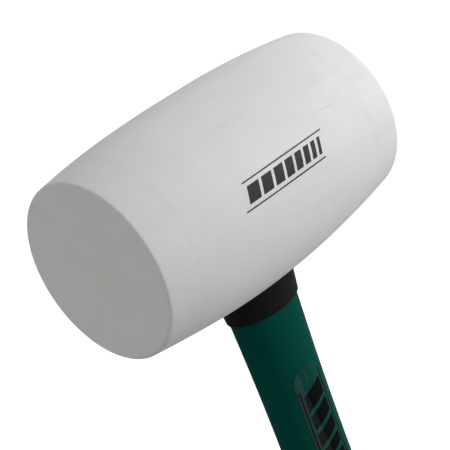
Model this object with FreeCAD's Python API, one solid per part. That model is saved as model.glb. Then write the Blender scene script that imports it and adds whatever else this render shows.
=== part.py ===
import FreeCAD, Part
import math
import os

# Rubber mallet, in millimetres. X runs along the head from striking face to striking face,
# Z runs up the handle, and the origin is the centre of the flat butt end of the handle.

V = FreeCAD.Vector
Y_AXIS = V(0, 1, 0)
Z_AXIS = V(0, 0, 1)

PAST = 5.0                 # how far a cutting shape runs past what it cuts
NEAR = 0.01                # closer than this counts as the same place

# Whole mallet
TOTAL_LEN = 380.0

# Head: a solid rubber barrel, a little fuller underneath, where the eye is
HEAD_DIA = 89.2            # across, at mid-length
FACE_DIA = 79.8
HEAD_LEN = 148.8
BELLY_POWER = 2.37         # how late the side turns in towards the faces
UNDERSIDE_SWELL = 2.06     # how much further down than a circle it reaches at mid-length
FACE_ROUND = 1.4
SECTION_STEPS = 12
HEAD_AXIS_Z = TOTAL_LEN - HEAD_DIA / 2
HEAD_BOTTOM_Z = HEAD_AXIS_Z - HEAD_DIA / 2 - UNDERSIDE_SWELL

# Blind eye in the head, and the tenon bonded into it
TENON_HALF_X = 14.5
TENON_HALF_Y = 9.8
BOND_GAP = 0.4
EYE_TOP_Z = HEAD_AXIS_Z + 24.0
BOND_CAP = 0.8
TENON_TOP_Z = EYE_TOP_Z - BOND_CAP
GLUE_GROOVES = 4
GROOVE_DEPTH = 0.8
GROOVE_WIDTH = 3.0
GROOVE_PITCH = 14.0
FIRST_GROOVE_Z = HEAD_BOTTOM_Z + 11.0

# Handle jacket: rows are height, half-length along X, half-width along Y
SHOULDER_Z = 286.0
SHANK_ROWS = (
    (152.0, 17.30, 12.00),
    (185.0, 17.02, 11.74),
    (206.0, 16.89, 11.65),
    (229.0, 17.06, 11.77),
    (250.0, 17.50, 12.08),
    (273.0, 18.30, 12.62),
    (SHOULDER_Z, 18.80, 12.97),
)
BUTT_ROWS = (
    (0.0, 18.4, 13.8),
    (12.0, 19.2, 14.6),
    (30.0, 18.2, 13.7),
    (42.0, 17.8, 13.2),
)
SHOULDER_ROUND = 1.2
BUTT_ROUND = 3.0
GRIP_SEAT_HALF_X = 14.8
GRIP_SEAT_HALF_Y = 10.2

# Grip sleeve, in the waist of the jacket, with finger grooves across its two broad sides
GRIP_ROWS = (
    (42.0, 18.0, 13.4),
    (70.0, 18.9, 14.6),
    (104.0, 18.6, 14.4),
    (136.0, 17.9, 13.1),
    (152.0, 17.8, 12.6),
)
GRIP_END_ROUND = 0.9
GRIP_GROOVES = 11
GRIP_GROOVE_PITCH = 7.6
GRIP_GROOVE_WIDTH = 2.2
GRIP_GROOVE_DEPTH = 0.8
GRIP_GROOVE_REACH = 12.5   # along X, each way from the middle

# Fibreglass core
CORE_HALF_X = 9.5
CORE_HALF_Y = 5.5
CORE_BOTTOM_Z = 34.0

# Collar between the head and the handle
COLLAR_BOTTOM_Z = HEAD_AXIS_Z - 57.6
COLLAR_HALF_X = 19.72
COLLAR_HALF_Y = 13.56
COLLAR_FLARE = 0.1065      # outward, for each millimetre up
COLLAR_TOP_Z = HEAD_BOTTOM_Z + 8.0
COLLAR_ROUND = 1.0

# Hang hole through the butt
HANG_HOLE_DIA = 9.0
HANG_HOLE_Z = 18.0
HANG_HOLE_ROUND = 1.5

# Clear film label on the side of the shank
LABEL_WIDTH = 17.6
LABEL_OFFSET_X = 0.5
LABEL_TOP_Z = HEAD_AXIS_Z - 86.7
LABEL_LEN = 77.0
LABEL_CORNER = 8.0
LABEL_FILM = 0.2


def oval(z, half_x, half_y):
    ellipse = Part.Ellipse(V(0, 0, z), half_x, half_y)
    return Part.Wire([ellipse.toShape()])


def lofted(rows, grow=0.0):
    wires = [oval(z, half_x + grow, half_y + grow) for z, half_x, half_y in rows]
    return Part.makeLoft(wires, True, False)


def oval_bar(z_low, z_high, half_x, half_y):
    face = Part.Face(oval(z_low, half_x, half_y))
    return face.extrude(Z_AXIS * (z_high - z_low))


def edges_at_height(shape, z):
    low = [e for e in shape.Edges if abs(e.BoundBox.ZMin - z) < NEAR]
    return [e for e in low if abs(e.BoundBox.ZMax - z) < NEAR]


def head_radius(x):
    share = abs(x) / (HEAD_LEN / 2)
    belly = (HEAD_DIA - FACE_DIA) / 2
    return FACE_DIA / 2 + belly * (1 - share ** BELLY_POWER)


def head_section(x):
    """A half circle over a half ellipse, whose ends meet at the height of the head's axis."""
    radius = head_radius(x)
    share = abs(x) / (HEAD_LEN / 2)
    swell = UNDERSIDE_SWELL * (1 - share ** 2) ** 2
    middle, one_side, other_side = [V(x, y, HEAD_AXIS_Z) for y in (0, radius, -radius)]
    over = Part.Arc(one_side, middle + Z_AXIS * radius, other_side)
    lowest = middle - Z_AXIS * (radius + swell)
    if swell > NEAR:
        ellipse = Part.Ellipse(lowest, one_side, middle)
        under = Part.ArcOfEllipse(ellipse, -math.pi / 2, math.pi / 2)
    else:
        under = Part.Arc(other_side, lowest, one_side)
    return Part.Wire([over.toShape(), under.toShape()])


def barrel():
    places = [HEAD_LEN * (step / SECTION_STEPS - 0.5) for step in range(SECTION_STEPS + 1)]
    solid = Part.makeLoft([head_section(x) for x in places], True, False)
    rims = [e for e in solid.Edges if e.BoundBox.XLength < NEAR < e.BoundBox.YLength]
    return solid.makeFillet(FACE_ROUND, rims)


def eye():
    low = HEAD_BOTTOM_Z - PAST
    return oval_bar(low, EYE_TOP_Z, TENON_HALF_X + BOND_GAP, TENON_HALF_Y + BOND_GAP)


def head():
    return barrel().cut(eye())


def core_rod():
    return oval_bar(CORE_BOTTOM_Z, TENON_TOP_Z, CORE_HALF_X, CORE_HALF_Y)


def groove_ring(z, half_x, half_y, width, depth):
    outer = oval_bar(z, z + width, half_x + PAST, half_y + PAST)
    return outer.cut(oval_bar(z, z + width, half_x - depth, half_y - depth))


def tenon():
    bar = oval_bar(SHOULDER_Z, TENON_TOP_Z, TENON_HALF_X, TENON_HALF_Y)
    for row in range(GLUE_GROOVES):
        z = FIRST_GROOVE_Z + row * GROOVE_PITCH
        bar = bar.cut(groove_ring(z, TENON_HALF_X, TENON_HALF_Y, GROOVE_WIDTH, GROOVE_DEPTH))
    return bar


def hang_hole():
    reach = BUTT_ROWS[0][2] + PAST
    start = V(0, -reach, HANG_HOLE_Z)
    return Part.makeCylinder(HANG_HOLE_DIA / 2, 2 * reach, start, Y_AXIS)


def butt():
    solid = lofted(BUTT_ROWS)
    solid = solid.makeFillet(BUTT_ROUND, edges_at_height(solid, 0.0))
    solid = solid.cut(hang_hole())
    rims = [e for e in solid.Edges if rims_hang_hole(e)]
    return solid.makeFillet(HANG_HOLE_ROUND, rims)


def rims_hang_hole(edge):
    """True for the edges where the hang hole leaves the butt, not for the seam along it."""
    box = edge.BoundBox
    reach = HANG_HOLE_DIA / 2 + 10 * NEAR
    beside = abs(box.XMin) < reach and abs(box.XMax) < reach
    level = box.ZMin > HANG_HOLE_Z - reach and box.ZMax < HANG_HOLE_Z + reach
    return beside and level and box.YLength < HANG_HOLE_DIA / 2


def shank():
    solid = lofted(SHANK_ROWS)
    return solid.makeFillet(SHOULDER_ROUND, edges_at_height(solid, SHOULDER_Z))


def grip_seat():
    low, high = BUTT_ROWS[-1][0], SHANK_ROWS[0][0]
    return oval_bar(low, high, GRIP_SEAT_HALF_X, GRIP_SEAT_HALF_Y)


def handle_jacket():
    solid = butt().fuse([grip_seat(), shank(), tenon()])
    return solid.cut(core_rod())


def eye_bond(jacket):
    inside = eye().common(barrel())
    return inside.cut([jacket, core_rod()])


def neck_collar(jacket):
    rise = COLLAR_TOP_Z - COLLAR_BOTTOM_Z
    spread = rise * COLLAR_FLARE
    rows = (
        (COLLAR_BOTTOM_Z, COLLAR_HALF_X, COLLAR_HALF_Y),
        (COLLAR_TOP_Z, COLLAR_HALF_X + spread, COLLAR_HALF_Y + spread),
    )
    solid = lofted(rows)
    solid = solid.makeFillet(COLLAR_ROUND, edges_at_height(solid, COLLAR_BOTTOM_Z))
    return solid.cut([barrel(), jacket, core_rod()])


def groove_band(row):
    """A slab across the grip where one groove lies."""
    middle = (GRIP_ROWS[0][0] + GRIP_ROWS[-1][0]) / 2
    z = middle + (row - (GRIP_GROOVES - 1) / 2) * GRIP_GROOVE_PITCH - GRIP_GROOVE_WIDTH / 2
    wide = max(half_y for height, half_x, half_y in GRIP_ROWS) + PAST
    corner = V(-GRIP_GROOVE_REACH, -wide, z)
    return Part.makeBox(2 * GRIP_GROOVE_REACH, 2 * wide, GRIP_GROOVE_WIDTH, corner)


def grip_sleeve():
    solid = lofted(GRIP_ROWS)
    ends = edges_at_height(solid, GRIP_ROWS[0][0]) + edges_at_height(solid, GRIP_ROWS[-1][0])
    solid = solid.makeFillet(GRIP_END_ROUND, ends)
    recess = lofted(GRIP_ROWS, PAST).cut(lofted(GRIP_ROWS, -GRIP_GROOVE_DEPTH))
    bands = [groove_band(row) for row in range(GRIP_GROOVES)]
    grooves = recess.common(Part.makeCompound(bands))
    return solid.cut([grooves, grip_seat()])


def handle_label():
    deep = SHANK_ROWS[0][2] + PAST
    corner = V(LABEL_OFFSET_X - LABEL_WIDTH / 2, -deep, LABEL_TOP_Z - LABEL_LEN)
    block = Part.makeBox(LABEL_WIDTH, deep, LABEL_LEN, corner)
    corners = [e for e in block.Edges if e.BoundBox.YLength > deep - NEAR]
    block = block.makeFillet(LABEL_CORNER, corners)
    film = lofted(SHANK_ROWS, LABEL_FILM).cut(lofted(SHANK_ROWS))
    return film.common(block)


def save(name, shape):
    solids = shape.Solids
    whole = solids[0] if len(solids) == 1 else Part.makeCompound(solids)
    if not solids or not whole.isValid():
        raise RuntimeError("bad solid: " + name)
    whole.exportStep("parts/" + name + ".step")
    print(name, len(solids), "solid", round(whole.Volume / 1000, 2), "cm3")


def main():
    os.makedirs("parts", exist_ok=True)
    jacket = handle_jacket()
    save("head", head())
    save("eye_bond", eye_bond(jacket))
    save("core_rod", core_rod())
    save("handle_jacket", jacket)
    save("neck_collar", neck_collar(jacket))
    save("grip_sleeve", grip_sleeve())
    save("handle_label", handle_label())


main()
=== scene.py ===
import math

import bpy
import numpy as np
from mathutils import Matrix, Vector, noise


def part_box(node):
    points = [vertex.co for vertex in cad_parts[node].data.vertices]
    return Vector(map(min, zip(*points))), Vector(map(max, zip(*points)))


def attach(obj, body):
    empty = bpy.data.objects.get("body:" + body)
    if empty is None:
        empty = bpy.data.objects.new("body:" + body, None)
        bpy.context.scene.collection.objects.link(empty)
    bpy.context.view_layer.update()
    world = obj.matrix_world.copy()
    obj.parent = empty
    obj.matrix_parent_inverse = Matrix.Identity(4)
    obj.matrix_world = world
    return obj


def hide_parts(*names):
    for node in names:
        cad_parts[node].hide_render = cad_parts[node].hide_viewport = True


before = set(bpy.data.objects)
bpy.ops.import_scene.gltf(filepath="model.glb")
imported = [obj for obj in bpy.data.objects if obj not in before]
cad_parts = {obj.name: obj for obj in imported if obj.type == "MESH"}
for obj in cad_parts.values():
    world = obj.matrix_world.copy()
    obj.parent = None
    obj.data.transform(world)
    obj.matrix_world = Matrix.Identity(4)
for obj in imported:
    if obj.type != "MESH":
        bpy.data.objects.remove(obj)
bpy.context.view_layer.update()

# Rubber mallet, in metres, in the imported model's frame: X along the head, Z up the handle,
# origin at the centre of the butt end. Lengths below are in millimetres times MM.

MM = 0.001

# Mesh detail
SHARP_ANGLE = 40               # degrees between two faces, above which their edge looks sharp
PLATE_SHARP_ANGLE = 50
ROUND_STEPS = 6                # faces across a rounded edge of the handle, grip or collar
FINE_ROUND_STEPS = 8           # the same, on the head, hang hole and label
HEAD_AROUND = 256
HANDLE_AROUND = 160
GRIP_AROUND = 224
HOLE_AROUND = 72

# Head
HEAD_RADIUS = 44.6 * MM
FACE_RADIUS = 39.9 * MM
HEAD_HALF = 74.4 * MM
BELLY_POWER = 2.37             # how late the side turns in towards the faces
UNDERSIDE_SWELL = 2.06 * MM    # the head is a little fuller underneath, where the eye is
FACE_ROUND = 1.4 * MM
HEAD_AXIS_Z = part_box("head")[1].z - HEAD_RADIUS
FACE_MIDDLE = 1.5 * MM         # radius of the innermost ring on a face
FACE_RINGS = 26
SIDE_STEP = 1.6 * MM
SEAM_HEIGHT = 0.012 * MM       # moulding seam round the belly
SEAM_HALF_WIDTH = 0.30 * MM
SEAM_REACH = 4 * SEAM_HALF_WIDTH
SEAM_STEP = 0.08 * MM
WAVE_HEIGHT = 0.10 * MM        # how uneven the moulded rubber is
WAVE_SIZE = 22 * MM

# Marks on the head's rubber, and a line of painted shade on its faces
SEAM_LINE = 0.32 * MM          # half-width of the faint line along the seam
SEAM_ANGLES = (math.radians(5), math.radians(30))   # above -Y: where the line starts, and is full
WITNESS_X = 56.5 * MM          # faint bands where the mould's end plates met its body
WITNESS_HALF_WIDTH = 3.6 * MM
SCUFF_HALF_WIDTH = 0.45 * MM
SCUFF_FADE = 0.2               # share of a scuff's length in which it fades out at each end
FACE_EDGE = 0.2 * MM           # how close to a face's plane its stains are full
BLOTCH_Y = -4 * MM             # centre of the tan blotch on a face, and its height over the axis
BLOTCH_UP = -2 * MM
BLOTCH_REACH = (20 * MM, 2 * MM)    # from its centre: where it starts, and where it is full
RIM_STAIN = 7 * MM             # how far in from a face's edge it is stained
NEAR_SIDE = (28 * MM, -8 * MM)      # y where a face's rim starts to be stained, and is fully
SPOTTED_SIDE = (6 * MM, -24 * MM)   # the same for its scattered spots
RUBBED_SIDE = (-8 * MM, 18 * MM)    # the same for where it is rubbed pale
SHADED_DEPTH = (-12 * MM, -38 * MM)  # the same for its painted shade, in height over the axis
SHADE_LINE_IN = 0.7 * MM            # thin line of painted shade just inside the lower edge of a face
SHADE_LINE_HALF_WIDTH = 0.5 * MM

# Scuffs along the head: x from and to in millimetres, degrees above -Y at each end, strength
HEAD_SCUFFS = (
    (26.7, 44.0, 27.6, 24.8, 0.22),
    (-13.0, -7.0, 49.5, 49.2, 0.20),
    (-52.0, -10.0, 51.0, 49.4, 0.07),
    (-48.0, -20.0, 12.0, 16.0, 0.06),
    (8.0, 30.0, -33.0, -30.0, 0.06),
    (-30.0, 12.0, 140.0, 146.0, 0.10),
    (20.0, 55.0, -164.0, -170.0, 0.09),
)

# Handle: rows are height, half-length along X, half-width along Y, in millimetres
SHANK_ROWS = (
    (152.0, 17.30, 12.00),
    (185.0, 17.02, 11.74),
    (206.0, 16.89, 11.65),
    (229.0, 17.06, 11.77),
    (250.0, 17.50, 12.08),
    (273.0, 18.30, 12.62),
    (286.0, 18.80, 12.97),
)
BUTT_ROWS = (
    (0.0, 18.4, 13.8),
    (12.0, 19.2, 14.6),
    (30.0, 18.2, 13.7),
    (42.0, 17.8, 13.2),
)
GRIP_ROWS = (
    (42.0, 18.0, 13.4),
    (70.0, 18.9, 14.6),
    (104.0, 18.6, 14.4),
    (136.0, 17.9, 13.1),
    (152.0, 17.8, 12.6),
)
GRIP_SEAT = (14.8 * MM, 10.2 * MM)
TENON = (14.5 * MM, 9.8 * MM)
TENON_TOP_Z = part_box("handle_jacket")[1].z
SHOULDER_ROUND = 1.2 * MM
BUTT_ROUND = 3.0 * MM
HANDLE_STEP = 1.5 * MM
BUTT_SHARES = (0.05, 0.3, 0.6, 0.85)    # rings on the flat butt end, as shares of its outline
TENON_SHARES = (0.6, 0.05)              # the same on the tenon's top

# Hang hole
HOLE_RADIUS = 4.5 * MM
HOLE_Z = 18.0 * MM
HOLE_ROUND = 1.5 * MM
HOLE_PAST = 2 * MM             # how far its cutter runs past the butt

# Grip ribs
GRIP_END_ROUND = 0.9 * MM
GRIP_STEP = 0.35 * MM
GROOVES = 11
GROOVE_PITCH = 7.6 * MM
GROOVE_HALF_WIDTH = 1.5 * MM
GROOVE_DEPTH = 0.8 * MM
GROOVE_REACH = 12.5 * MM       # grooves fade out this far along X from the middle
GROOVE_FADE = 3 * MM

# Collar
COLLAR_LOW_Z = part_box("neck_collar")[0].z
COLLAR_HALF = (19.72 * MM, 13.56 * MM)
COLLAR_FLARE = 0.1065          # outward, for each unit up
COLLAR_ROUND = 1.0 * MM
COLLAR_GAP = 0.02 * MM         # between its lower edge and the handle
COLLAR_BITE = 0.3 * MM         # how far its top goes into the head
COLLAR_RINGS = 12

# Label on the handle
LABEL_HALF = 8.8 * MM
LABEL_OFFSET = 0.5 * MM
LABEL_TOP_Z = HEAD_AXIS_Z - 86.7 * MM
LABEL_LEN = 77.0 * MM
LABEL_CORNER = 8.0 * MM
LABEL_FILM = 0.2 * MM
LABEL_STEP = 2 * MM
REFLECTION_X = -5.0 * MM             # at the label's top; left of this the film has a painted reflection, a paler milky patch
REFLECTION_LEAN = 0.085              # how far that line moves to the right, for each unit down
REFLECTION_WANDER = 6 * MM
REFLECTION_EDGE = 0.5 * MM
EDGE_HIGHLIGHT_IN = (1.1 * MM, 0.5 * MM)    # in from the label's left edge: where its painted highlight starts, and where it is full

# Printed bar patterns, on the label and on the head
INK = 0.03 * MM
ROOT = 0.3 * MM                # how far the head's print goes into the rubber
FILM_ROOT = 0.1 * MM
PRINT_LEN = 67.0 * MM
PRINT_WIDTH = 16.0 * MM
PRINT_RULE = 0.9 * MM
PRINT_TALLNESS = 0.76          # of the bars, as a share of the pattern's width
MARK_ANGLE = math.radians(11.0)
MARK_LEN = 54.0 * MM
MARK_WIDTH = 11.5 * MM
MARK_RULE = 0.55 * MM
MARK_TALLNESS = 0.60
BARS = 8
NARROWEST_BAR = 0.25           # as a share of the widest
BAR_GAP = 0.032                # as a share of the pattern's length
BAR_LEAN = 0.35                # as a share of the pattern's width
FIRST_BAR_IN = 0.75            # as a share of the lean

# Camera
CAMERA_AZIMUTH = math.radians(-39.18)
CAMERA_ELEVATION = math.radians(19.36)
CAMERA_ROLL = math.radians(-20.58)
CAMERA_DISTANCE = 662.9 * MM
HEAD_RIGHT_OF_CENTRE = -2.63 * MM
HEAD_ABOVE_CENTRE = 15.61 * MM
LENS = 124.84
SENSOR = 36
SEEN_FROM, SEEN_TO = 0.05, 100

# Floor and light
FLOOR_HALF = 60.0
FLOOR_TONE = 0.5
FLOOR_ROUGHNESS = 0.9
FLOOR_SHINE = 0.1
FLOOR_GLOW = 0.76
SURROUND_LIGHT = 0.332
SURROUND_SEEN = 1.0
LIGHT_SPREAD = 55              # degrees across a soft light, as the object sees it


# Curves through rows

def curve_through(rows):
    """A natural cubic through (height, half x, half y) rows, which are in millimetres.

    It gives the two halves, in metres, at a height in metres."""
    table = np.array(rows) * MM
    z, values = table[:, 0], table[:, 1:]
    count = len(z)
    gap = np.diff(z)
    system = np.eye(count)
    load = np.zeros((count, 2))
    for i in range(1, count - 1):
        system[i, i - 1:i + 2] = gap[i - 1], 2 * (gap[i - 1] + gap[i]), gap[i]
        rise = (values[i + 1] - values[i]) / gap[i] - (values[i] - values[i - 1]) / gap[i - 1]
        load[i] = 6 * rise
    bend = np.linalg.solve(system, load)

    def at(height):
        i = int(np.clip(np.searchsorted(z, height) - 1, 0, count - 2))
        left, right = height - z[i], z[i + 1] - height
        cubic = (bend[i] * right ** 3 + bend[i + 1] * left ** 3) / (6 * gap[i])
        start = (values[i] / gap[i] - bend[i] * gap[i] / 6) * right
        end = (values[i + 1] / gap[i] - bend[i + 1] * gap[i] / 6) * left
        return cubic + start + end

    return at


shank_at = curve_through(SHANK_ROWS)
butt_at = curve_through(BUTT_ROWS)
grip_at = curve_through(GRIP_ROWS)


# Mesh helpers

def link(name, verts, faces, sharp_angle=SHARP_ANGLE):
    mesh = bpy.data.meshes.new(name)
    mesh.from_pydata([tuple(v) for v in verts], [], faces)
    mesh.update()
    mesh.shade_smooth()
    mesh.set_sharp_from_angle(angle=math.radians(sharp_angle))
    piece = bpy.data.objects.new(name, mesh)
    bpy.context.scene.collection.objects.link(piece)
    return piece


def tube_faces(rows, around, wrap=False):
    """Quads between closed rings; wrap joins the last ring to the first."""
    faces = []
    for r in range(rows if wrap else rows - 1):
        low, high = r * around, (r + 1) % rows * around
        for c in range(around):
            d = (c + 1) % around
            faces.append((low + c, low + d, high + d, high + c))
    return faces


def capped_tube(name, rings):
    """A closed skin over rings, with a fan over each end."""
    rings = np.array(rings)
    rows, around = rings.shape[:2]
    verts = list(rings.reshape(-1, 3)) + [rings[0].mean(0), rings[-1].mean(0)]
    faces = tube_faces(rows, around)
    first, last = rows * around, rows * around + 1
    top = (rows - 1) * around
    for c in range(around):
        d = (c + 1) % around
        faces.append((first, d, c))
        faces.append((last, top + c, top + d))
    return link(name, verts, faces)


def sleeve(name, rings):
    """A closed skin over rings that run up the outside and down the inside."""
    rings = np.array(rings)
    rows, around = rings.shape[:2]
    return link(name, rings.reshape(-1, 3), tube_faces(rows, around, wrap=True))


def turns(around):
    """Evenly spaced angles, all the way round."""
    return np.linspace(0, 2 * math.pi, around, endpoint=False)


def quarter(count):
    """Angles from 0 to a right angle, in count steps."""
    return np.linspace(0, math.pi / 2, count + 1)


def oval_ring(z, half_x, half_y, around):
    turn = turns(around)
    return np.stack([half_x * np.cos(turn), half_y * np.sin(turn), np.full(around, z)], 1)


def steps(start, end, size):
    count = max(1, int(round(abs(end - start) / size)))
    return np.linspace(start, end, count + 1)


# Head

def head_radius(x):
    share = np.abs(x) / HEAD_HALF
    return FACE_RADIUS + (HEAD_RADIUS - FACE_RADIUS) * (1 - share ** BELLY_POWER)


def swell(x):
    """How much further down than a circle the underside reaches."""
    share = abs(x) / HEAD_HALF
    return UNDERSIDE_SWELL * (1 - share ** 2) ** 2


def side_slope():
    """Angle of the side to the axis, where it meets the rounded rim."""
    x = HEAD_HALF - FACE_ROUND
    return math.atan(float(head_radius(x) - head_radius(x + MM)) / MM)


def head_outline():
    """(x, radius) points from the middle of the -X face to mid-length."""
    tilt = side_slope()
    side_x = -HEAD_HALF + FACE_ROUND - FACE_ROUND * math.sin(tilt)
    rim_radius = float(head_radius(side_x)) - FACE_ROUND * math.cos(tilt)
    points = [(-HEAD_HALF, r) for r in np.linspace(FACE_MIDDLE, rim_radius, FACE_RINGS)]
    for turn in np.linspace(0, math.pi / 2 - tilt, FINE_ROUND_STEPS + 1)[1:]:
        x = -HEAD_HALF + FACE_ROUND * (1 - math.cos(turn))
        points.append((x, rim_radius + FACE_ROUND * math.sin(turn)))
    side = list(steps(points[-1][0], -SEAM_REACH, SIDE_STEP)[1:])
    side += list(steps(-SEAM_REACH, 0, SEAM_STEP)[1:])
    for x in side:
        seam = SEAM_HEIGHT * math.exp(-(x / SEAM_HALF_WIDTH) ** 2)
        points.append((x, float(head_radius(x)) + seam))
    return points


def uneven(point):
    """How far a point of the moulded rubber stands out from its true shape."""
    return WAVE_HEIGHT * noise.noise(Vector(point) / WAVE_SIZE)


def head_ring(x, radius):
    """A half circle over a half ellipse, with the moulding's unevenness."""
    ring = []
    for turn in turns(HEAD_AROUND):
        depth = radius + swell(x) if turn > math.pi else radius
        y, z = radius * math.cos(turn), depth * math.sin(turn)
        grow = 1 + uneven((x, y, z)) / HEAD_RADIUS
        ring.append((x, y * grow, HEAD_AXIS_Z + z * grow))
    return ring


def head_piece():
    half = head_outline()
    outline = half + [(-x, r) for x, r in reversed(half[:-1])]
    piece = capped_tube("head_rubber", [head_ring(x, radius) for x, radius in outline])
    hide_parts("head")
    return finish_piece(piece, white_rubber())


# Handle

def rounded_end(z_end, inward, rows_at, round_by):
    """Rings round an end of an oval bar; inward is +1 at a lower end and -1 at an upper one."""
    half_x, half_y = rows_at(z_end + inward * round_by)
    rings = []
    for turn in quarter(ROUND_STEPS):
        z = z_end + inward * round_by * (1 - math.sin(turn))
        shrink = round_by * (1 - math.cos(turn))
        rings.append((z, half_x - shrink, half_y - shrink))
    return rings


def handle_rows():
    """(z, half x, half y) rings from the butt to the tenon's top."""
    butt_top, shank_low = BUTT_ROWS[-1][0] * MM, SHANK_ROWS[0][0] * MM
    shoulder = SHANK_ROWS[-1][0] * MM
    bottom = list(reversed(rounded_end(0.0, 1, butt_at, BUTT_ROUND)))
    low, half_x, half_y = bottom[0]
    rows = [(low, half_x * share, half_y * share) for share in BUTT_SHARES]
    rows += bottom
    rows += [(z, *butt_at(z)) for z in steps(BUTT_ROUND, butt_top, HANDLE_STEP)[1:]]
    rows += [(butt_top, *GRIP_SEAT), (shank_low, *GRIP_SEAT)]
    rows += [(z, *shank_at(z)) for z in steps(shank_low, shoulder - SHOULDER_ROUND, HANDLE_STEP)]
    rows += rounded_end(shoulder, -1, shank_at, SHOULDER_ROUND)[1:]
    rows += [(shoulder, *TENON), (TENON_TOP_Z, *TENON)]
    rows += [(TENON_TOP_Z, TENON[0] * share, TENON[1] * share) for share in TENON_SHARES]
    return rows


def hole_cutter():
    """A bar along Y that opens out like a trumpet where it leaves the butt."""
    half_y = float(butt_at(HOLE_Z)[1])
    mouth = HOLE_RADIUS + HOLE_ROUND
    rows = [(-half_y - HOLE_PAST, mouth), (-half_y, mouth)]
    for turn in quarter(FINE_ROUND_STEPS)[1:]:
        depth = math.sin(turn)
        opening = 1 - math.sqrt(1 - (1 - depth) ** 2)
        rows.append((-half_y + HOLE_ROUND * depth, HOLE_RADIUS + HOLE_ROUND * opening))
    rows += [(-y, r) for y, r in reversed(rows)]
    rings = []
    for y, r in rows:
        rings.append([(r * math.cos(a), y, HOLE_Z - r * math.sin(a)) for a in turns(HOLE_AROUND)])
    return capped_tube("hole_cutter", rings)


def cut(piece, cutter):
    """Takes cutter out of piece and deletes it."""
    boolean = piece.modifiers.new("hole", "BOOLEAN")
    boolean.operation = "DIFFERENCE"
    boolean.solver = "EXACT"
    boolean.object = cutter
    shape = piece.evaluated_get(bpy.context.evaluated_depsgraph_get())
    piece.data = bpy.data.meshes.new_from_object(shape)
    piece.modifiers.clear()
    bpy.data.objects.remove(cutter)
    piece.data.set_sharp_from_angle(angle=math.radians(SHARP_ANGLE))


def handle_piece():
    rings = [oval_ring(z, half_x, half_y, HANDLE_AROUND) for z, half_x, half_y in handle_rows()]
    piece = capped_tube("handle_moulding", rings)
    cut(piece, hole_cutter())
    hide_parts("handle_jacket")
    return finish_piece(piece, green_plastic())


# Collar

def collar_top(x, y):
    """Height of the head's underside over a point, a little inside it."""
    radius = float(head_radius(x))
    depth = radius + swell(x)
    return HEAD_AXIS_Z - depth * math.sqrt(1 - (y / radius) ** 2) + COLLAR_BITE


def flared(x, y):
    """Where the outside, which starts at (x, y), meets the head."""
    rise = collar_top(x, y) - COLLAR_LOW_Z
    spread = 1 + COLLAR_FLARE * rise / math.hypot(x, y)
    return (x * spread, y * spread, collar_top(x * spread, y * spread))


def collar_piece():
    rings = [oval_ring(COLLAR_LOW_Z, *(shank_at(COLLAR_LOW_Z) + COLLAR_GAP), HANDLE_AROUND)]
    for turn in quarter(ROUND_STEPS):
        z = COLLAR_LOW_Z + COLLAR_ROUND * (1 - math.cos(turn))
        shrink = COLLAR_ROUND * (1 - math.sin(turn))
        rings.append(oval_ring(z, COLLAR_HALF[0] - shrink, COLLAR_HALF[1] - shrink, HANDLE_AROUND))
    low = rings[-1]
    top = np.array([flared(x, y) for x, y, z in low])
    for share in np.linspace(0, 1, COLLAR_RINGS)[1:]:
        rings.append(low * (1 - share) + top * share)
    inner_top = [(x, y, collar_top(x, y)) for x, y, z in oval_ring(0, *TENON, HANDLE_AROUND)]
    rings.append(np.array(inner_top))
    piece = sleeve("collar_rubber", rings)
    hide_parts("neck_collar")
    look = black_rubber("collar_rubber_look", rough=0.42, shine=0.02)
    return finish_piece(piece, look)


# Grip

def groove_depth(z):
    """How deep the ribbing is at a height, before it fades at the sides."""
    middle = (GRIP_ROWS[0][0] + GRIP_ROWS[-1][0]) / 2 * MM
    row = round((z - middle) / GROOVE_PITCH)
    if abs(row) > (GROOVES - 1) / 2:
        return 0.0
    away = abs(z - middle - row * GROOVE_PITCH) / GROOVE_HALF_WIDTH
    return GROOVE_DEPTH * 0.5 * (1 + math.cos(math.pi * away)) if away < 1 else 0.0


def groove_share(x):
    """1 near the middle of the grip, going smoothly to 0 at its sides."""
    share = np.clip((GROOVE_REACH - np.abs(x)) / GROOVE_FADE + 0.5, 0, 1)
    return share * share * (3 - 2 * share)


def grip_piece():
    low, high = GRIP_ROWS[0][0] * MM, GRIP_ROWS[-1][0] * MM
    rows = [(low, *GRIP_SEAT)]
    rows += list(reversed(rounded_end(low, 1, grip_at, GRIP_END_ROUND)))
    middle = steps(low + GRIP_END_ROUND, high - GRIP_END_ROUND, GRIP_STEP)[1:-1]
    rows += [(z, *grip_at(z)) for z in middle]
    rows += rounded_end(high, -1, grip_at, GRIP_END_ROUND)
    rows += [(high, *GRIP_SEAT)]
    rings = []
    for z, half_x, half_y in rows:
        ring = oval_ring(z, half_x, half_y, GRIP_AROUND)
        depth = groove_depth(z) * groove_share(ring[:, 0])
        ring[:, :2] *= (1 - depth / np.hypot(ring[:, 0], ring[:, 1]))[:, None]
        rings.append(ring)
    piece = sleeve("grip_rubber", rings)
    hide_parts("grip_sleeve")
    look = black_rubber("grip_rubber_look", rough=0.50, shine=0.20)
    return finish_piece(piece, look)


# Label and prints: plates that follow a surface

def plate(place, grid, low, high):
    """A thin closed plate: grid holds (s, t) places on a surface, low and high are lifts."""
    grid = np.array(grid)
    rows, cols = grid.shape[:2]
    verts = [place(s, t, lift) for lift in (high, low) for s, t in grid.reshape(-1, 2)]
    under = rows * cols
    faces = []
    for r in range(rows - 1):
        for c in range(cols - 1):
            a, b = r * cols + c, (r + 1) * cols + c
            faces.append((a, a + 1, b + 1, b))
            faces.append((under + a, under + b, under + b + 1, under + a + 1))
    edge = list(range(cols)) + [r * cols + cols - 1 for r in range(1, rows)]
    edge += [(rows - 1) * cols + c for c in range(cols - 2, -1, -1)]
    edge += [r * cols for r in range(rows - 2, 0, -1)]
    for a, b in zip(edge, edge[1:] + edge[:1]):
        faces.append((b, a, under + a, under + b))
    return verts, faces


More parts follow.
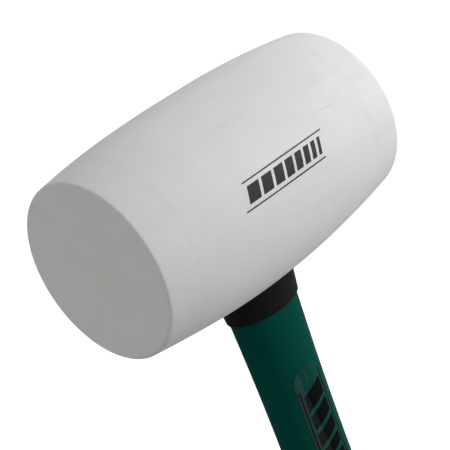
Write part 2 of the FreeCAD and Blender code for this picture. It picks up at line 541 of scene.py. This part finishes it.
def joined(name, plates):
    verts, faces = [], []
    for more_verts, more_faces in plates:
        start = len(verts)
        verts += more_verts
        faces += [tuple(start + i for i in face) for face in more_faces]
    return link(name, verts, faces, PLATE_SHARP_ANGLE)


def bar(s0, s1, t0, t1, lean=0.0, rows=17, cols=9):
    """A four-sided patch; lean shifts its t1 side along s."""
    grid = []
    for t in np.linspace(t0, t1, rows):
        shift = lean * (t - t0) / (t1 - t0)
        grid.append([(s + shift, t) for s in np.linspace(s0, s1, cols)])
    return grid


def rounded_patch(half_s, length, corner, cols=25):
    """A patch with rounded corners, t running from 0 to length."""
    bend = [corner * (1 - math.cos(a)) for a in quarter(FINE_ROUND_STEPS)]
    straight = steps(corner, length - corner, LABEL_STEP)[1:-1]
    grid = []
    for t in [*bend, *straight, *(length - b for b in reversed(bend))]:
        inset = max(corner - t, corner - (length - t), 0.0)
        half = half_s - corner + math.sqrt(max(corner ** 2 - inset ** 2, 0.0))
        grid.append([(s, t) for s in np.linspace(-half, half, cols)])
    return grid


def on_head(s, t, lift):
    """s runs along the head, t round it upwards from the mark's middle line."""
    radius = float(head_radius(s)) + lift
    angle = MARK_ANGLE + t / HEAD_RADIUS
    return (s, -radius * math.cos(angle), HEAD_AXIS_Z + radius * math.sin(angle))


def on_handle(s, t, lift):
    """s runs across the -Y side of the handle, t down it from the label's top."""
    z = LABEL_TOP_Z - t
    half_x, half_y = shank_at(z) + lift
    turn = math.asin(max(-1.0, min(1.0, (s + LABEL_OFFSET) / half_x)))
    return (half_x * math.sin(turn), -half_y * math.cos(turn), z)


def bar_pattern(length, width, tallness, rule):
    """Patches of a plain graduated bar pattern between two rules, centred on (0, 0)."""
    lean = BAR_LEAN * width
    half = length / 2
    patches = []
    for side in (-1, 1):
        middle = side * (width / 2 - rule / 2)
        shift = side * lean / 2
        start, end = -half + shift + lean / 2, half + shift - lean / 2
        patches.append(bar(start, end, middle - rule / 2, middle + rule / 2, rows=2, cols=41))
    tall = tallness * width
    gap = BAR_GAP * length
    room = length - 2 * lean - gap * (BARS - 1)
    shares = np.linspace(1.0, NARROWEST_BAR, BARS)
    start = -half + lean * FIRST_BAR_IN
    for share in shares:
        end = start + room * share / shares.sum()
        patches.append(bar(start, end, -tall / 2, tall / 2, lean * tall / width))
        start = end + gap
    return patches


def head_mark():
    pattern = bar_pattern(MARK_LEN, MARK_WIDTH, MARK_TALLNESS, MARK_RULE)
    piece = joined("head_mark", [plate(on_head, patch, -ROOT, WAVE_HEIGHT + INK) for patch in pattern])
    return finish_piece(piece, ink("head_ink", 0.030))


def label_film():
    grid = rounded_patch(LABEL_HALF, LABEL_LEN, LABEL_CORNER)
    piece = joined("label_film", [plate(on_handle, grid, -FILM_ROOT, LABEL_FILM)])
    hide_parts("handle_label")
    return finish_piece(piece, film())


def label_print():
    plates = []
    for patch in bar_pattern(PRINT_LEN, PRINT_WIDTH, PRINT_TALLNESS, PRINT_RULE):
        turned = [[(-t, s + LABEL_LEN / 2) for s, t in row] for row in patch]
        plates.append(plate(on_handle, turned, 0.5 * LABEL_FILM, LABEL_FILM + INK))
    piece = joined("label_print", plates)
    # the print is paler under the film's painted reflection
    return finish_piece(piece, ink("label_ink", 0.0030, shine=0.02, reflection_tone=0.0145))


# Materials: colours are linear red, green and blue

def grey(tone):
    return (tone, tone, tone)


RUBBER_DEEP, RUBBER_PALE = grey(0.702), grey(0.726)
STREAK = grey(0.62)
SMUDGE = (0.52, 0.517, 0.508)
SEAM_SHADE = (0.40, 0.40, 0.39)
WITNESS_SHADE = (0.5, 0.5, 0.49)
SCUFF = (0.34, 0.34, 0.33)
TAN = (0.69, 0.664, 0.59)
RUBBED_RUBBER = (0.712, 0.770, 0.762)
# dark brown: dirt specks on the head, and the painted shade line on its faces
DIRT_AND_SHADE = (0.36, 0.33, 0.28)
GREEN_DEEP, GREEN_PALE = (0.0, 0.052, 0.039), (0.0, 0.060, 0.0455)
GREEN_GRAIN = (0.0, 0.070, 0.054)
GREEN_RUBBED = (0.004, 0.080, 0.064)
BLACK_DEEP, BLACK_PALE = grey(0.0087), grey(0.0129)
DUST = (0.030, 0.030, 0.029)
FILM_DEEP, FILM_PALE = (0.0, 0.048, 0.037), (0.002, 0.056, 0.044)
FILM_BLOTCH = (0.012, 0.062, 0.052)
# painted reflection on the label's film: paler, milky green
REFLECTION_DEEP, REFLECTION_PALE = (0.014, 0.062, 0.055), (0.026, 0.073, 0.066)
# painted highlight along the label film's left edge
FILM_EDGE_HIGHLIGHT = (0.036, 0.044, 0.042)
GLASS_DEEP, GLASS_PALE = (0.56, 0.53, 0.34), (0.74, 0.71, 0.52)
EPOXY_DEEP, EPOXY_PALE = (0.50, 0.44, 0.30), (0.62, 0.57, 0.42)


class Shader:
    """A node material on one Principled shader, with short ways to add and join nodes."""

    def __init__(self, name):
        self.material = bpy.data.materials.new(name)
        self.material.use_nodes = True
        self.nodes = self.material.node_tree.nodes
        self.links = self.material.node_tree.links
        self.surface = self.nodes["Principled BSDF"]
        self.place = self.nodes.new("ShaderNodeTexCoord").outputs["Object"]
        split = self.nodes.new("ShaderNodeSeparateXYZ")
        self.feed(self.place, split.inputs["Vector"])
        self.x, self.y, self.z = split.outputs

    def set(self, **values):
        for name, value in values.items():
            self.surface.inputs[name.replace("_", " ")].default_value = value

    def feed(self, value, socket):
        """Links a node's output to a socket, or sets the socket to a number."""
        if isinstance(value, bpy.types.NodeSocket):
            self.links.new(value, socket)
        else:
            socket.default_value = value

    def finish(self, name, value):
        self.feed(value, self.surface.inputs[name])

    def noise(self, scale, detail=3.0, rough=0.5, stretch=(1, 1, 1), warp=0.0):
        spread = self.nodes.new("ShaderNodeMapping")
        spread.inputs["Scale"].default_value = stretch
        self.feed(self.place, spread.inputs["Vector"])
        node = self.nodes.new("ShaderNodeTexNoise")
        node.inputs["Scale"].default_value = scale
        node.inputs["Detail"].default_value = detail
        node.inputs["Roughness"].default_value = rough
        node.inputs["Distortion"].default_value = warp
        self.feed(spread.outputs[0], node.inputs["Vector"])
        return node.outputs["Fac"]

    def maths(self, operation, *values):
        node = self.nodes.new("ShaderNodeMath")
        node.operation = operation
        for socket, value in zip(node.inputs, values):
            self.feed(value, socket)
        return node.outputs[0]

    def slide(self, value, start, end, low=0.0, high=1.0):
        """Goes smoothly from low to high while value goes from start to end."""
        node = self.nodes.new("ShaderNodeMapRange")
        node.interpolation_type = "SMOOTHSTEP"
        ends = {"From Min": start, "From Max": end, "To Min": low, "To Max": high}
        for name, number in ends.items():
            node.inputs[name].default_value = number
        self.feed(value, node.inputs["Value"])
        return node.outputs["Result"]

    def spots(self, scale, start, end, low=0.0, high=1.0, **kind):
        """Noise that is low where it is under start, and high where it is over end."""
        return self.slide(self.noise(scale, **kind), start, end, low, high)

    def line(self, value, centre, half_width):
        """1 where value is centre, and 0 beyond half_width from it."""
        away = self.maths("ABSOLUTE", self.maths("SUBTRACT", value, centre))
        return self.slide(away, 0.0, half_width, 1.0, 0.0)

    def hypot(self, a, b):
        return self.maths("SQRT", self.maths("ADD", self.product(a, a), self.product(b, b)))

    def product(self, *values):
        result = values[0]
        for value in values[1:]:
            result = self.maths("MULTIPLY", result, value)
        return result

    def mix(self, share, first, second):
        node = self.nodes.new("ShaderNodeMix")
        node.data_type = "RGBA"
        self.feed(share, node.inputs[0])
        for socket, value in ((node.inputs[6], first), (node.inputs[7], second)):
            self.feed((*value, 1) if isinstance(value, tuple) else value, socket)
        return node.outputs[2]

    def stain(self, base, colour, *shares):
        """base with colour over it, as strongly as the product of the shares."""
        return self.mix(self.product(*shares), base, colour)

    def bump(self, *layers):
        """Bump from (height, strength, distance) layers, on top of each other."""
        normal = None
        for height, strength, distance in layers:
            node = self.nodes.new("ShaderNodeBump")
            node.inputs["Strength"].default_value = strength
            node.inputs["Distance"].default_value = distance
            self.feed(height, node.inputs["Height"])
            if normal is not None:
                self.feed(normal, node.inputs["Normal"])
            normal = node.outputs["Normal"]
        self.finish("Normal", normal)


def scuff(s, turn, x_from, x_to, angle_from, angle_to, strength):
    """A faint straight mark on the side of the head; turn is the angle above -Y in radians."""
    x_from, x_to = x_from * MM, x_to * MM
    angle_from, angle_to = math.radians(angle_from), math.radians(angle_to)
    climb = (angle_to - angle_from) / (x_to - x_from)
    middle = s.maths("MULTIPLY_ADD", s.x, climb, angle_from - climb * x_from)
    mark = s.line(s.maths("SUBTRACT", turn, middle), 0.0, SCUFF_HALF_WIDTH / HEAD_RADIUS)
    run_out = (x_to - x_from) * SCUFF_FADE
    starts = s.slide(s.x, x_from, x_from + run_out)
    stops = s.slide(s.x, x_to, x_to - run_out)
    return s.product(mark, starts, stops, strength)


def side_marks(s, base, up, length):
    """Streaks and smudges all over, with mould lines and scuffs round the side."""
    streaks = s.spots(70, 0.52, 0.74, detail=4, rough=0.6, stretch=(0.22, 1, 1), warp=0.4)
    base = s.stain(base, STREAK, streaks, 0.30)
    smudges = s.spots(150, 0.60, 0.78, rough=0.65, warp=0.5)
    base = s.stain(base, SMUDGE, smudges, 0.16)

    turn = s.maths("ARCTAN2", up, s.maths("MULTIPLY", s.y, -1.0))
    on_top = s.slide(turn, *SEAM_ANGLES)
    seam = s.product(s.line(s.x, 0.0, SEAM_LINE), s.spots(60, 0.3, 0.6, detail=2), on_top)
    base = s.stain(base, SEAM_SHADE, seam, 0.15)
    broken = s.spots(120, 0.35, 0.65, 0.3, 1.0, detail=4, rough=0.7)
    witness = s.product(s.line(length, WITNESS_X, WITNESS_HALF_WIDTH), broken)
    base = s.stain(base, WITNESS_SHADE, witness, 0.13)
    for mark in HEAD_SCUFFS:
        base = s.stain(base, SCUFF, scuff(s, turn, *mark))
    return base


def tan_share(s, up, radius):
    """How tan a face is: in a blotch near its middle, along its rim, and in scattered spots."""
    off_blotch = (s.maths("SUBTRACT", s.y, BLOTCH_Y), s.maths("SUBTRACT", up, BLOTCH_UP))
    blotch = s.slide(s.hypot(*off_blotch), *BLOTCH_REACH)
    middle = s.product(blotch, s.spots(95, 0.40, 0.62, detail=5, rough=0.7))

    near_rim = s.slide(radius, FACE_RADIUS - RIM_STAIN, FACE_RADIUS - FACE_ROUND)
    patches = s.spots(60, 0.36, 0.64, 0.25, 1.0, detail=4, rough=0.65, warp=0.5)
    near_side = s.slide(s.y, *NEAR_SIDE, 0.35, 1.0)
    rim = s.product(near_rim, patches, near_side, 0.85)

    specks = s.spots(150, 0.50, 0.66, detail=4, rough=0.7)
    scattered = s.product(specks, s.slide(s.y, *SPOTTED_SIDE), 0.40)
    return s.maths("MAXIMUM", middle, s.maths("MAXIMUM", rim, scattered))


def face_marks(s, base, up, length):
    """Tan stains, rubbed patches and a thin line of painted shade, darker lower down, on the two faces.
    """
    radius = s.hypot(s.y, up)
    on_face = s.slide(length, HEAD_HALF - FACE_ROUND, HEAD_HALF - FACE_EDGE)
    base = s.stain(base, TAN, on_face, tan_share(s, up, radius), 0.42)

    rubbed = s.spots(100, 0.46, 0.66, detail=5, rough=0.65, stretch=(1, 1, 0.5), warp=0.5)
    far_side = s.slide(s.y, *RUBBED_SIDE, 0.15, 1.0)
    base = s.stain(base, RUBBED_RUBBER, on_face, rubbed, far_side, 0.30)

    # painted shade: a dark line just inside each face's edge, stronger lower down
    near_face = s.slide(length, HEAD_HALF - 2 * FACE_ROUND, HEAD_HALF - FACE_ROUND)
    ring = s.line(radius, FACE_RADIUS - SHADE_LINE_IN, SHADE_LINE_HALF_WIDTH)
    broken = s.spots(90, 0.3, 0.65, detail=4, rough=0.7)
    low_down = s.slide(up, *SHADED_DEPTH, 0.02, 0.5)
    painted_shade = s.product(near_face, ring, broken)
    return s.stain(base, DIRT_AND_SHADE, painted_shade, low_down)


def white_rubber():
    s = Shader("white_rubber_look")
    s.set(IOR=1.5, Specular_IOR_Level=0.35)
    up = s.maths("SUBTRACT", s.z, HEAD_AXIS_Z)
    length = s.maths("ABSOLUTE", s.x)
    base = s.mix(s.spots(26, 0.35, 0.65, detail=4, rough=0.55), RUBBER_DEEP, RUBBER_PALE)
    base = side_marks(s, base, up, length)
    base = face_marks(s, base, up, length)
    base = s.stain(base, DIRT_AND_SHADE, s.spots(420, 0.72, 0.79, detail=2, rough=0.6), 0.25)
    s.finish("Base Color", base)
    s.finish("Roughness", s.spots(90, 0.3, 0.7, 0.58, 0.70))
    s.bump((s.noise(1300, detail=2), 0.12, 0.15 * MM), (s.noise(160), 0.12, 0.5 * MM))
    return s.material


def green_plastic():
    s = Shader("green_plastic_look")
    s.set(IOR=1.5, Specular_IOR_Level=0.02)
    base = s.mix(s.noise(70), GREEN_DEEP, GREEN_PALE)
    base = s.stain(base, GREEN_GRAIN, s.spots(900, 0.35, 0.7, detail=2, rough=0.6), 0.25)
    rubbed = s.spots(38, 0.60, 0.80, detail=5, rough=0.65, stretch=(1, 1, 0.3), warp=0.6)
    base = s.stain(base, GREEN_RUBBED, rubbed, 0.25)
    s.finish("Base Color", base)
    s.finish("Roughness", s.spots(300, 0.3, 0.7, 0.52, 0.66))
    s.bump((s.noise(1800, detail=2), 0.18, 0.15 * MM), (s.noise(120, detail=2), 0.1, 0.4 * MM))
    return s.material


def black_rubber(name, rough, shine):
    s = Shader(name)
    s.set(IOR=1.5, Specular_IOR_Level=shine)
    base = s.mix(s.noise(80), BLACK_DEEP, BLACK_PALE)
    base = s.stain(base, DUST, s.spots(700, 0.58, 0.74, rough=0.65), 0.30)
    s.finish("Base Color", base)
    s.finish("Roughness", s.spots(260, 0.3, 0.7, rough - 0.05, rough + 0.07))
    s.bump((s.noise(2200), 0.35, 0.2 * MM))
    return s.material


def painted_reflection(s):
    """Where the label's film has a painted reflection: a paler, milky patch on its left part."""
    grain = s.noise(140, detail=4, rough=0.7, warp=0.8)
    wander = s.maths("MULTIPLY_ADD", grain, REFLECTION_WANDER, -REFLECTION_WANDER / 2)
    across = s.maths("MULTIPLY_ADD", s.z, REFLECTION_LEAN, s.maths("ADD", s.x, wander))
    edge = REFLECTION_X + REFLECTION_LEAN * LABEL_TOP_Z
    return s.slide(across, edge + REFLECTION_EDGE, edge - REFLECTION_EDGE)


def film():
    s = Shader("label_film_look")
    s.set(IOR=1.5, Specular_IOR_Level=0.04)
    base = s.mix(s.noise(120), FILM_DEEP, FILM_PALE)
    base = s.stain(base, FILM_BLOTCH, s.spots(170, 0.56, 0.68, rough=0.6, warp=0.6), 0.7)
    # painted reflection: the film's left part is paler and milky
    reflected = s.mix(s.noise(500), REFLECTION_DEEP, REFLECTION_PALE)
    base = s.mix(painted_reflection(s), base, reflected)
    # painted highlight: a paler band just inside the film's left edge
    left_edge = LABEL_OFFSET - LABEL_HALF
    edge_highlight = s.slide(s.x, left_edge + EDGE_HIGHLIGHT_IN[0], left_edge + EDGE_HIGHLIGHT_IN[1])
    base = s.stain(base, FILM_EDGE_HIGHLIGHT, edge_highlight, s.spots(60, 0.35, 0.6))
    s.finish("Base Color", base)
    s.finish("Roughness", s.spots(200, 0.3, 0.7, 0.22, 0.30, detail=2))
    s.bump((s.noise(90, detail=2), 0.2, 0.3 * MM))
    return s.material


def ink(name, tone, shine=0.1, reflection_tone=None):
    """Dark ink that is worn paler in places, and paler under the film's painted reflection if it is
    given a tone for that.
    """
    s = Shader(name)
    s.set(Specular_IOR_Level=shine)
    fresh, worn = (tone, tone, tone * 1.05), (tone * 1.4, tone * 1.4, tone * 1.45)
    base = s.mix(s.noise(900), fresh, worn)
    if reflection_tone:
        base = s.mix(painted_reflection(s), base, grey(reflection_tone))
    s.finish("Base Color", base)
    s.finish("Roughness", s.spots(500, 0.3, 0.7, 0.45, 0.55, detail=2))
    s.bump((s.noise(1500, detail=2), 0.2, 0.08 * MM))
    return s.material


def fibreglass():
    s = Shader("fibreglass_look")
    strands = s.noise(900, rough=0.6, stretch=(1, 1, 0.02))
    s.finish("Base Color", s.mix(strands, GLASS_DEEP, GLASS_PALE))
    s.finish("Roughness", s.slide(strands, 0.3, 0.7, 0.25, 0.4))
    s.bump((strands, 0.2, 0.1 * MM))
    return s.material


def epoxy():
    s = Shader("epoxy_look")
    cloud = s.noise(200, detail=4)
    s.finish("Base Color", s.mix(cloud, EPOXY_DEEP, EPOXY_PALE))
    s.finish("Roughness", s.slide(cloud, 0.3, 0.7, 0.2, 0.35))
    s.bump((cloud, 0.2, 0.3 * MM))
    return s.material


def finish_piece(piece, material):
    """Gives a piece its material and its body; ink has no slot, because the record has none for it."""
    piece.data.materials.clear()
    piece.data.materials.append(material)
    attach(piece, "root")
    return piece


def dress_node(node, material):
    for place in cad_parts[node].material_slots:
        place.material = material


# Studio

def camera():
    a, e = CAMERA_AZIMUTH, CAMERA_ELEVATION
    back = Vector((math.sin(a) * math.cos(e), -math.cos(a) * math.cos(e), math.sin(e)))
    level = Vector((math.cos(a), math.sin(a), 0))
    rolled = Matrix.Rotation(CAMERA_ROLL, 3, back)
    right = rolled @ level
    up = back.cross(right)
    data = bpy.data.cameras.new("camera")
    data.lens = LENS
    data.sensor_width = SENSOR
    data.clip_start, data.clip_end = SEEN_FROM, SEEN_TO
    piece = bpy.data.objects.new("camera", data)
    facing_head = Vector((0, 0, HEAD_AXIS_Z)) + back * CAMERA_DISTANCE
    piece.location = facing_head - right * HEAD_RIGHT_OF_CENTRE - up * HEAD_ABOVE_CENTRE
    turn = Matrix((right, up, back)).transposed()
    piece.rotation_mode = "QUATERNION"
    piece.rotation_quaternion = turn.to_quaternion()
    bpy.context.scene.collection.objects.link(piece)
    bpy.context.scene.camera = piece


def light(name, kind, way, energy):
    """A light that shines from the direction way."""
    data = bpy.data.lights.new(name, kind)
    data.energy = energy
    piece = bpy.data.objects.new(name, data)
    piece.rotation_euler = way.to_track_quat("Z", "Y").to_euler()
    bpy.context.scene.collection.objects.link(piece)
    return piece


def soft_light(name, azimuth, elevation, strength):
    """A broad even light; azimuth is measured from +X towards +Y, in degrees."""
    a, e = math.radians(azimuth), math.radians(elevation)
    way = Vector((math.cos(e) * math.cos(a), math.cos(e) * math.sin(a), math.sin(e)))
    piece = light(name, "SUN", way, strength)
    piece.data.angle = math.radians(LIGHT_SPREAD)
    piece.location = way


def soft_box(name, place, size, power):
    """A square light near the object, turned to the head."""
    piece = light(name, "AREA", Vector(place) - Vector((0, 0, HEAD_AXIS_Z)), power)
    piece.data.size = size
    piece.location = place
    piece.visible_camera = False


def camera_only(nodes, links, strength, socket):
    """Gives a socket this strength for what the camera sees, and none for what lights the object."""
    seen = nodes.new("ShaderNodeLightPath").outputs["Is Camera Ray"]
    scale = nodes.new("ShaderNodeMath")
    scale.operation = "MULTIPLY"
    scale.inputs[1].default_value = strength
    links.new(seen, scale.inputs[0])
    links.new(scale.outputs[0], socket)


def floor():
    size = FLOOR_HALF
    verts = [(-size, -size, 0), (size, -size, 0), (size, size, 0), (-size, size, 0)]
    piece = link("floor", verts, [(0, 1, 2, 3)])
    material = bpy.data.materials.new("floor_look")
    material.use_nodes = True
    nodes, links = material.node_tree.nodes, material.node_tree.links
    shader = nodes["Principled BSDF"]
    shader.inputs["Base Color"].default_value = (*grey(FLOOR_TONE), 1)
    shader.inputs["Roughness"].default_value = FLOOR_ROUGHNESS
    shader.inputs["Specular IOR Level"].default_value = FLOOR_SHINE
    shader.inputs["Emission Color"].default_value = (1, 1, 1, 1)
    camera_only(nodes, links, FLOOR_GLOW, shader.inputs["Emission Strength"])
    piece.data.materials.append(material)


def surround():
    """Even white light; the camera sees it as plain white."""
    world = bpy.data.worlds.new("surround")
    bpy.context.scene.world = world
    world.use_nodes = True
    nodes, links = world.node_tree.nodes, world.node_tree.links
    seen = nodes.new("ShaderNodeLightPath").outputs["Is Camera Ray"]
    strength = nodes.new("ShaderNodeMapRange")
    strength.inputs["To Min"].default_value = SURROUND_LIGHT
    strength.inputs["To Max"].default_value = SURROUND_SEEN
    links.new(seen, strength.inputs["Value"])
    links.new(strength.outputs[0], nodes["Background"].inputs["Strength"])
    nodes["Background"].inputs["Color"].default_value = (1, 1, 1, 1)


def studio():
    bpy.context.scene.view_settings.view_transform = "Standard"
    camera()
    surround()
    floor()
    soft_light("key", azimuth=20, elevation=25, strength=1.18)
    soft_light("left_fill", azimuth=180, elevation=25, strength=0.43)
    soft_box("side_box", place=(0.85, -0.70, 0.60), size=0.6, power=10.39)


def main():
    studio()
    head_piece()
    handle_piece()
    collar_piece()
    grip_piece()
    head_mark()
    label_film()
    label_print()
    dress_node("core_rod", fibreglass())
    dress_node("eye_bond", epoxy())


main()
